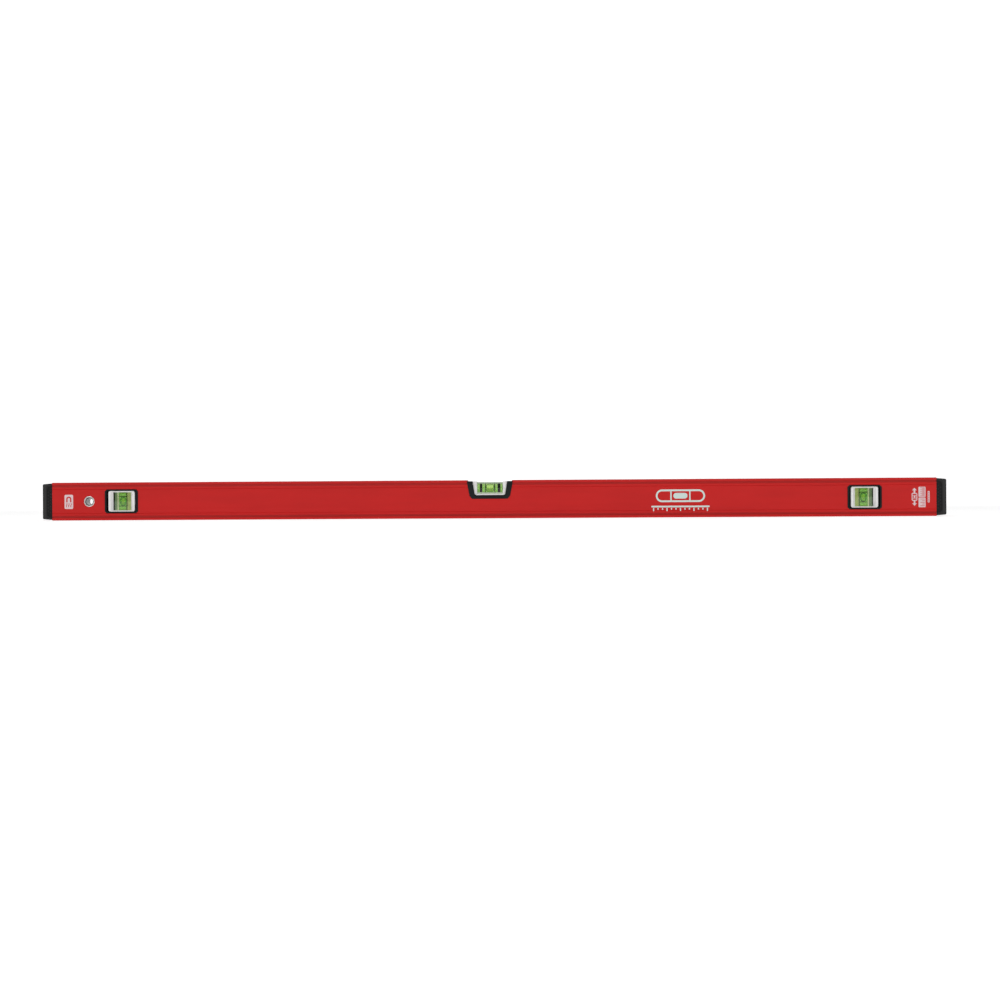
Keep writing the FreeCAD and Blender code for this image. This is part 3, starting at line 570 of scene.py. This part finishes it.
def dress_cad_nodes():
    """Gives every CAD node its material, apart from those that the vials' pieces replace."""
    dress(beam_coat(), "beam")
    dress(turned_nickel(), "hang_eyelet")
    dress(moulded("trim_black", TRIM_BLACK, TRIM_GREY, 0.40, 3000, 0.012 * MM, deep=TRIM_PAINTED_SHADE),
          "_saddle", "_bezel_front", "_bezel_rear")
    dress(moulded("carrier_white", ABS_WHITE, ABS_SHADED, 0.32, 2200, 0.004 * MM),
          "_housing", "_carrier_front", "_carrier_rear")
    dress(scuffed_rubber(), "_bumper")
    dress(moulded("cap_nylon", NYLON_BLACK, TRIM_GREY, 0.46, 1800, 0.015 * MM), "_core")
    dress(moulded("vial_marks", MARK_BLACK, TRIM_BLACK, 0.45, 3000, 0.004 * MM), "_lines", "_bands")
    dress(clear("vial_plug", drifting(PLUG_CLEAR, PLUG_YELLOWED), IOR_PLUG), "_plug")
    pots = [f"magnet_pot_{number}" for number in range(1, 5)]
    dress(plated("pot_zinc", ZINC, ZINC_DULL, 0.30, 900), *pots)
    magnets = [f"magnet_{number}" for number in range(1, 5)]
    dress(plated("magnet_nickel", NICKEL, MAGNET_WORN, 0.14, 2600), *magnets)


# ---- Mesh helpers -------------------------------------------------------------------------------
def new_piece(name, mesh, material, body, smooth=True):
    """Adds a mesh to the scene as a piece that rides on a body."""
    piece = bpy.data.objects.new(name, mesh)
    bpy.context.collection.objects.link(piece)
    mesh.materials.append(material)
    if smooth:
        mesh.shade_smooth()
        mesh.set_sharp_from_angle(angle=math.radians(40))
    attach(piece, body)
    return piece


def revolved_mesh(name, centre, along, profile, segments=72):
    """The closed surface that a profile of (axial, radius) points sweeps about a line along the
    X or Z axis through the centre. The first and last points lie on the line."""
    bm = bmesh.new()
    turn = Matrix.Identity(3) if along == "X" else Matrix.Rotation(-math.pi / 2, 3, "Y")

    def put(axial, radius, angle):
        point = Vector((axial, radius * math.cos(angle), radius * math.sin(angle)))
        return bm.verts.new(centre + turn @ point)

    first, last = put(*profile[0], 0), put(*profile[-1], 0)
    rings = []
    for axial, radius in profile[1:-1]:
        rings.append([put(axial, radius, 2 * math.pi * i / segments) for i in range(segments)])
    for i in range(segments):
        j = (i + 1) % segments
        bm.faces.new((first, rings[0][j], rings[0][i]))
        bm.faces.new((last, rings[-1][i], rings[-1][j]))
        for near, far in zip(rings, rings[1:]):
            bm.faces.new((near[i], near[j], far[j], far[i]))
    bmesh.ops.recalc_face_normals(bm, faces=bm.faces)
    mesh = bpy.data.meshes.new(name)
    bm.to_mesh(mesh)
    bm.free()
    return mesh


def barrel_profile(half, radius, steps=28):
    """A bore that is widest in the middle, with a wall that is an arc and a small edge radius."""
    sag = radius * (1 - BARREL_END_RATIO)
    edge = 0.25 * MM
    wall = []
    for i in range(steps + 1):
        a = (half - edge) * (2 * i / steps - 1)
        wall.append((a, radius - sag * (a / half) ** 2))
    end_radius = wall[0][1] - edge
    return [(-half, 0), (-half, end_radius)] + wall + [(half, end_radius), (half, 0)]


def bubble_profile(half, radius, bluntness, steps=40):
    """A bubble: nearly elliptic, but blunter where its ends meet the fluid."""
    power = 2 / bluntness
    angles = [math.pi * i / steps for i in range(1, steps)]
    arc = [(-half * math.copysign(abs(math.cos(t)) ** power, math.cos(t)),
            radius * math.sin(t) ** power) for t in angles]
    return [(-half, 0)] + arc + [(half, 0)]


def block_mesh(name, low, high, edge):
    """A cast block with softly rounded edges."""
    bm = bmesh.new()
    size = high - low
    middle = (low + high) / 2
    place = Matrix.Translation(middle) @ Matrix.Diagonal((*size, 1))
    bmesh.ops.create_cube(bm, size=1, matrix=place)
    bmesh.ops.bevel(bm, geom=bm.edges[:], offset=edge, segments=3, profile=0.5, affect="EDGES")
    mesh = bpy.data.meshes.new(name)
    bm.to_mesh(mesh)
    bm.free()
    return mesh


# ---- Vials --------------------------------------------------------------------------------------
def dress_vial(prefix, along, bubble_body, acrylic, fluid, air, bluntness):
    """Clear block, dyed fluid and air bubble of one vial, in the places of their CAD nodes. The
    block has no bore and the fluid no hollow: each surface is one boundary between two media, and
    the bubble can slide."""
    low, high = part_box(prefix + "_block")
    block = new_piece(prefix + "_clear_block",
                      block_mesh(prefix + "_clear_block", low, high, BLOCK_EDGE),
                      acrylic, BODY)
    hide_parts(prefix + "_block")

    axis = "XYZ".index(along)
    low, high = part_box(prefix + "_fluid")
    centre, half = (low + high) / 2, (high[axis] - low[axis]) / 2
    radius = (high.y - low.y) / 2 - FLUID_GAP
    liquid = new_piece(prefix + "_liquid",
                       revolved_mesh(prefix + "_liquid", centre, along,
                                     barrel_profile(half, radius)),
                       fluid, BODY)
    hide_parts(prefix + "_fluid")

    low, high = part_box(prefix + "_bubble")
    centre, half = (low + high) / 2, (high[axis] - low[axis]) / 2
    radius = (high.y - low.y) / 2
    bubble = new_piece(prefix + "_air",
                       revolved_mesh(prefix + "_air", centre, along,
                                     bubble_profile(half, radius, bluntness)),
                       air, bubble_body)
    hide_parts(prefix + "_bubble")


def dress_vials():
    """Dresses the level vial and both plumb vials."""
    main_acrylic = clear("acrylic_main", main_block_tint, IOR_ACRYLIC)
    plumb_acrylic = clear("acrylic_plumb", plumb_block_tint, IOR_ACRYLIC)
    main_fluid = clear("fluid_main", main_fluid_tint, IOR_FLUID_IN_ACRYLIC)
    plumb_fluid = clear("fluid_plumb", plumb_fluid_tint, IOR_FLUID_IN_ACRYLIC)
    main_air = clear("bubble_air_main", main_bubble_tint, IOR_BUBBLE_IN_FLUID,
                     painted_glow_of=main_bubble_painted_glow)
    plumb_air = {side: clear(f"bubble_air_{side}", plumb_bubble_tint(side + "_plumb_bubble"),
                             IOR_BUBBLE_IN_FLUID)
                 for side in ("left", "right")}
    dress_vial("main_vial", "X", "main_bubble", main_acrylic, main_fluid, main_air,
               MAIN_BLUNTNESS)
    for side in ("left", "right"):
        dress_vial(side + "_plumb", "Z", side + "_bubble", plumb_acrylic, plumb_fluid,
                   plumb_air[side], PLUMB_BLUNTNESS)


# ---- Prints on the front face ---------------------------------------------------------------
def box_loop(width, height, radius=0.0, x=0.0, z=0.0):
    """A rounded rectangle round (x, z), as points."""
    if radius == 0:
        w, h = width / 2, height / 2
        return [(x - w, z - h), (x + w, z - h), (x + w, z + h), (x - w, z + h)]
    loop = []
    corners = ((1, -1, -90), (1, 1, 0), (-1, 1, 90), (-1, -1, 180))
    for side_x, side_z, start in corners:
        middle = (x + side_x * (width / 2 - radius), z + side_z * (height / 2 - radius))
        loop += arc_points(middle, radius, start, start + 90)
    return loop


def arc_points(middle, radius, start, finish, steps=8):
    """Points on an arc, from one angle in degrees to another."""
    points = []
    for i in range(steps + 1):
        angle = math.radians(start + (finish - start) * i / steps)
        points.append((middle[0] + radius * math.cos(angle), middle[1] + radius * math.sin(angle)))
    return points


def stroke_loop(points, width):
    """The outline of a line of constant width through points."""
    left, right = [], []
    for i, (a, b) in enumerate(points):
        before, after = points[max(i - 1, 0)], points[min(i + 1, len(points) - 1)]
        run = Vector((after[0] - before[0], after[1] - before[1])).normalized() * (width / 2)
        left.append((a - run.y, b + run.x))
        right.append((a + run.y, b - run.x))
    return left + right[::-1]


def print_on_face(name, x, loops, material, layer=0, height=0.0):
    """A print whose loops are in millimetres round x and a height above mid height. Loops inside
    loops are holes. A higher layer lies on a lower one."""
    curve = bpy.data.curves.new(name, "CURVE")
    curve.dimensions, curve.fill_mode = "2D", "BOTH"
    curve.extrude = INK_THICKNESS / 2
    for loop in loops:
        spline = curve.splines.new("POLY")
        spline.points.add(len(loop) - 1)
        spline.use_cyclic_u = True
        for point, (a, b) in zip(spline.points, loop):
            point.co = (a * MM, b * MM, 0, 1)
    drawing = bpy.data.objects.new(name + "_drawing", curve)
    mesh = bpy.data.meshes.new_from_object(drawing)
    bpy.data.objects.remove(drawing)
    middle_z = (cad_low.z + cad_high.z) / 2 + height * MM
    face_y = cad_low.y + FACE_DEPTH - INK_THICKNESS * (layer + 0.5) + 0.01 * MM
    upright = Matrix.Rotation(math.pi / 2, 4, "X")
    mesh.transform(Matrix.Translation((x * MM, face_y, middle_z)) @ upright)
    bm = bmesh.new()
    bm.from_mesh(mesh)
    bmesh.ops.remove_doubles(bm, verts=bm.verts, dist=0.001 * MM)
    bmesh.ops.recalc_face_normals(bm, faces=bm.faces)
    bm.to_mesh(mesh)
    bm.free()
    mesh.materials.clear()
    return new_piece(name, mesh, material, BODY, smooth=False)


def magnet_label(white, red):
    """A white label with a horseshoe magnet and three curved field lines."""
    print_on_face("print_magnet_label", MAGNET_LABEL_X, [box_loop(11.8, 19.3, 1.6)], white,
                  height=MAGNET_LABEL_RISE)
    outer, inner = 3.55, 1.75
    leg = 4.2
    arch = (0.0, 3.6)
    foot = arch[1] - leg
    shoe = (arc_points(arch, outer, 0, 180, 16) + [(-outer, foot), (-inner, foot)]
            + arc_points(arch, inner, 180, 0, 16) + [(inner, foot), (outer, foot)])
    waves = []
    for offset in (-3.0, 0.0, 3.0):
        line = [(offset + 0.45 * math.sin(2 * math.pi * i / 10), -1.9 - 5.2 * i / 10)
                for i in range(11)]
        waves.append(stroke_loop(line, 0.9))
    print_on_face("print_magnet_sign", MAGNET_LABEL_X, [shoe] + waves, red, layer=1,
                  height=MAGNET_LABEL_RISE)


def plumb_sign(white, red):
    """An upright double arrow with a vial across its middle."""
    head, neck, half = 3.1, 1.1, 12.0
    tip = half - 3.4
    arrow = [(0, half), (head, tip), (neck, tip), (neck, -tip), (head, -tip), (0, -half),
             (-head, -tip), (-neck, -tip), (-neck, tip), (-head, tip)]
    vial, glass = box_loop(7.4, 10.4, 1.6), box_loop(5.2, 8.2, 0.9)
    marks = [box_loop(5.2, 0.6, 0, 0, z) for z in (1.9, -1.9)]
    bubble = box_loop(2.4, 2.6, 1.15)
    print_on_face("print_plumb_arrow", PLUMB_SIGN_X, [arrow], white)
    print_on_face("print_plumb_vial", PLUMB_SIGN_X, [vial, glass], white, layer=1)
    print_on_face("print_plumb_ground", PLUMB_SIGN_X, [glass], red, layer=1)
    print_on_face("print_plumb_marks", PLUMB_SIGN_X, marks + [bubble], white, layer=2)


def rule_label(white, red):
    """A label of two boxes that carry the divisions of a folding rule, and a bar beside it."""
    lower, upper = 12.9, 13.5
    gap = 0.9
    lower_z, upper_z = -gap / 2 - lower / 2, gap / 2 + upper / 2
    boxes = [box_loop(9.3, lower, 1.0, 0, lower_z), box_loop(9.3, upper, 1.0, 0, upper_z)]
    print_on_face("print_rule_label", RULE_LABEL_X, boxes, white,
                  height=RULE_LABEL_RISE)
    ticks = []
    for middle_z, count, pitch in ((lower_z, 5, 2.2), (upper_z, 9, 1.32)):
        for i in range(count):
            long_tick = i % 2 == 0
            width = 5.9 if long_tick else 3.4
            z = middle_z + (i - (count - 1) / 2) * pitch
            ticks.append(box_loop(width, 0.62, 0, 3.6 - width / 2, z))
    print_on_face("print_rule_ticks", RULE_LABEL_X, ticks, red, layer=1,
                  height=RULE_LABEL_RISE)
    print_on_face("print_bar", DASHED_BAR_X, [box_loop(2.6, 15.2, 0.6)], white)
    dashes = [box_loop(0.9, 1.4, 0.2, 0, (i - 2.5) * 2.3) for i in range(6)]
    print_on_face("print_bar_dashes", DASHED_BAR_X, dashes, red, layer=1)


def vial_emblem(white):
    """A plain sign of a level vial with its bubble between two marks, over a ruled edge."""
    width, height, wall = 66.0, 17.0, 2.4
    z = 3.2
    rim = [box_loop(width, height, height / 2 - 0.01, 0, z),
           box_loop(width - 2 * wall, height - 2 * wall, height / 2 - wall - 0.01, 0, z)]
    inner = height - 2 * wall
    marks = [box_loop(1.8, inner + 0.6, 0, side * 12.6, z) for side in (-1, 1)]
    bubble = [box_loop(19.0, 7.6, 3.79, 0, z)]
    print_on_face("print_emblem_vial", EMBLEM_X, rim, white)
    print_on_face("print_emblem_marks", EMBLEM_X, marks + bubble, white)
    ground = [box_loop(78.0, 2.2, 1.0, 0, -11.2)]
    ground += [box_loop(1.5, 2.6 if i % 3 else 4.4, 0, (i - 6) * 6.0, -14.2 if i % 3 else -15.1)
               for i in range(13)]
    print_on_face("print_emblem_ground", EMBLEM_X, ground, white)


def print_face():
    """All the prints of the front face."""
    white = ink("ink_white", INK_WHITE, INK_THIN)
    red = ink("ink_red", COAT_RED, COAT_RED_DEEP)
    magnet_label(white, red)
    plumb_sign(white, red)
    rule_label(white, red)
    vial_emblem(ink("ink_cool", INK_COOL, INK_COOL_THIN))


# ---- Studio -------------------------------------------------------------------------------------
def camera():
    """Looks along the level's own horizontal, turned and tilted a little."""
    data = bpy.data.cameras.new("camera")
    data.sensor_width = SENSOR_WIDTH
    data.lens = SENSOR_WIDTH * CAMERA_DISTANCE / VIEW_WIDTH
    data.clip_start, data.clip_end = 0.05, 50
    ahead = Vector((-math.sin(CAMERA_YAW), math.cos(CAMERA_YAW), 0))
    across = Vector((math.cos(CAMERA_YAW), math.sin(CAMERA_YAW), 0))
    up = Vector((0, 0, 1))
    right = across * math.cos(CAMERA_ROLL) - up * math.sin(CAMERA_ROLL)
    above = up * math.cos(CAMERA_ROLL) + across * math.sin(CAMERA_ROLL)
    target = Vector((VIEW_MIDDLE[0], cad_low.y + FACE_DEPTH,
                     (cad_low.z + cad_high.z) / 2 + VIEW_MIDDLE[1]))
    turn = Matrix((right, above, -ahead)).transposed().to_4x4()
    view = bpy.data.objects.new("camera", data)
    view.matrix_world = Matrix.Translation(target - ahead * CAMERA_DISTANCE) @ turn
    bpy.context.collection.objects.link(view)
    bpy.context.scene.camera = view


def soft_light(name, place, target, width, height, watts):
    """A rectangular lamp that faces a target."""
    data = bpy.data.lights.new(name, "AREA")
    data.shape, data.size, data.size_y = "RECTANGLE", width, height
    data.energy = watts
    lamp = bpy.data.objects.new(name, data)
    lamp.location = place
    aim = (Vector(target) - Vector(place)).to_track_quat("-Z", "Y")
    lamp.rotation_euler = aim.to_euler()
    bpy.context.collection.objects.link(lamp)


def backdrop():
    """A pale floor that curves up into a wall behind the level."""
    half_width, front, bend_start, bend_radius, top = 9.0, -7.0, 3.0, 2.0, 6.0
    outline = [(front, 0.0)]
    for i in range(25):
        angle = math.pi / 2 * i / 24
        outline.append((bend_start + bend_radius * math.sin(angle),
                        bend_radius * (1 - math.cos(angle))))
    outline.append((bend_start + bend_radius, top))
    bm = bmesh.new()
    rows = [[bm.verts.new((side * half_width, y, z)) for side in (-1, 1)] for y, z in outline]
    for (a, b), (c, d) in zip(rows, rows[1:]):
        bm.faces.new((a, b, d, c))
    mesh = bpy.data.meshes.new("backdrop")
    bm.to_mesh(mesh)
    bm.free()
    mesh.materials.append(studio_white())
    mesh.shade_smooth()
    floor = bpy.data.objects.new("backdrop", mesh)
    bpy.context.collection.objects.link(floor)


def studio():
    """The view transform, the air's own light and three soft lamps."""
    scene = bpy.context.scene
    scene.view_settings.view_transform = "Standard"
    world = bpy.data.worlds.new("studio_air")
    world.use_nodes = True
    background = world.node_tree.nodes["Background"]
    background.inputs["Color"].default_value = (1, 1, 1, 1)
    background.inputs["Strength"].default_value = AIR_GLOW
    scene.world = world
    soft_light("key", (-1.3, -2.5, 2.1), (0, 0, 0), 2.6, 1.6, 31)
    soft_light("fill", (1.8, -2.5, 1.7), (0, 0, 0), 2.0, 1.6, 18)
    soft_light("top", (0, 0.4, 2.8), (0, 0, 0), 2.6, 1.4, 8)


camera()
backdrop()
studio()
dress_cad_nodes()
dress_vials()
print_face()
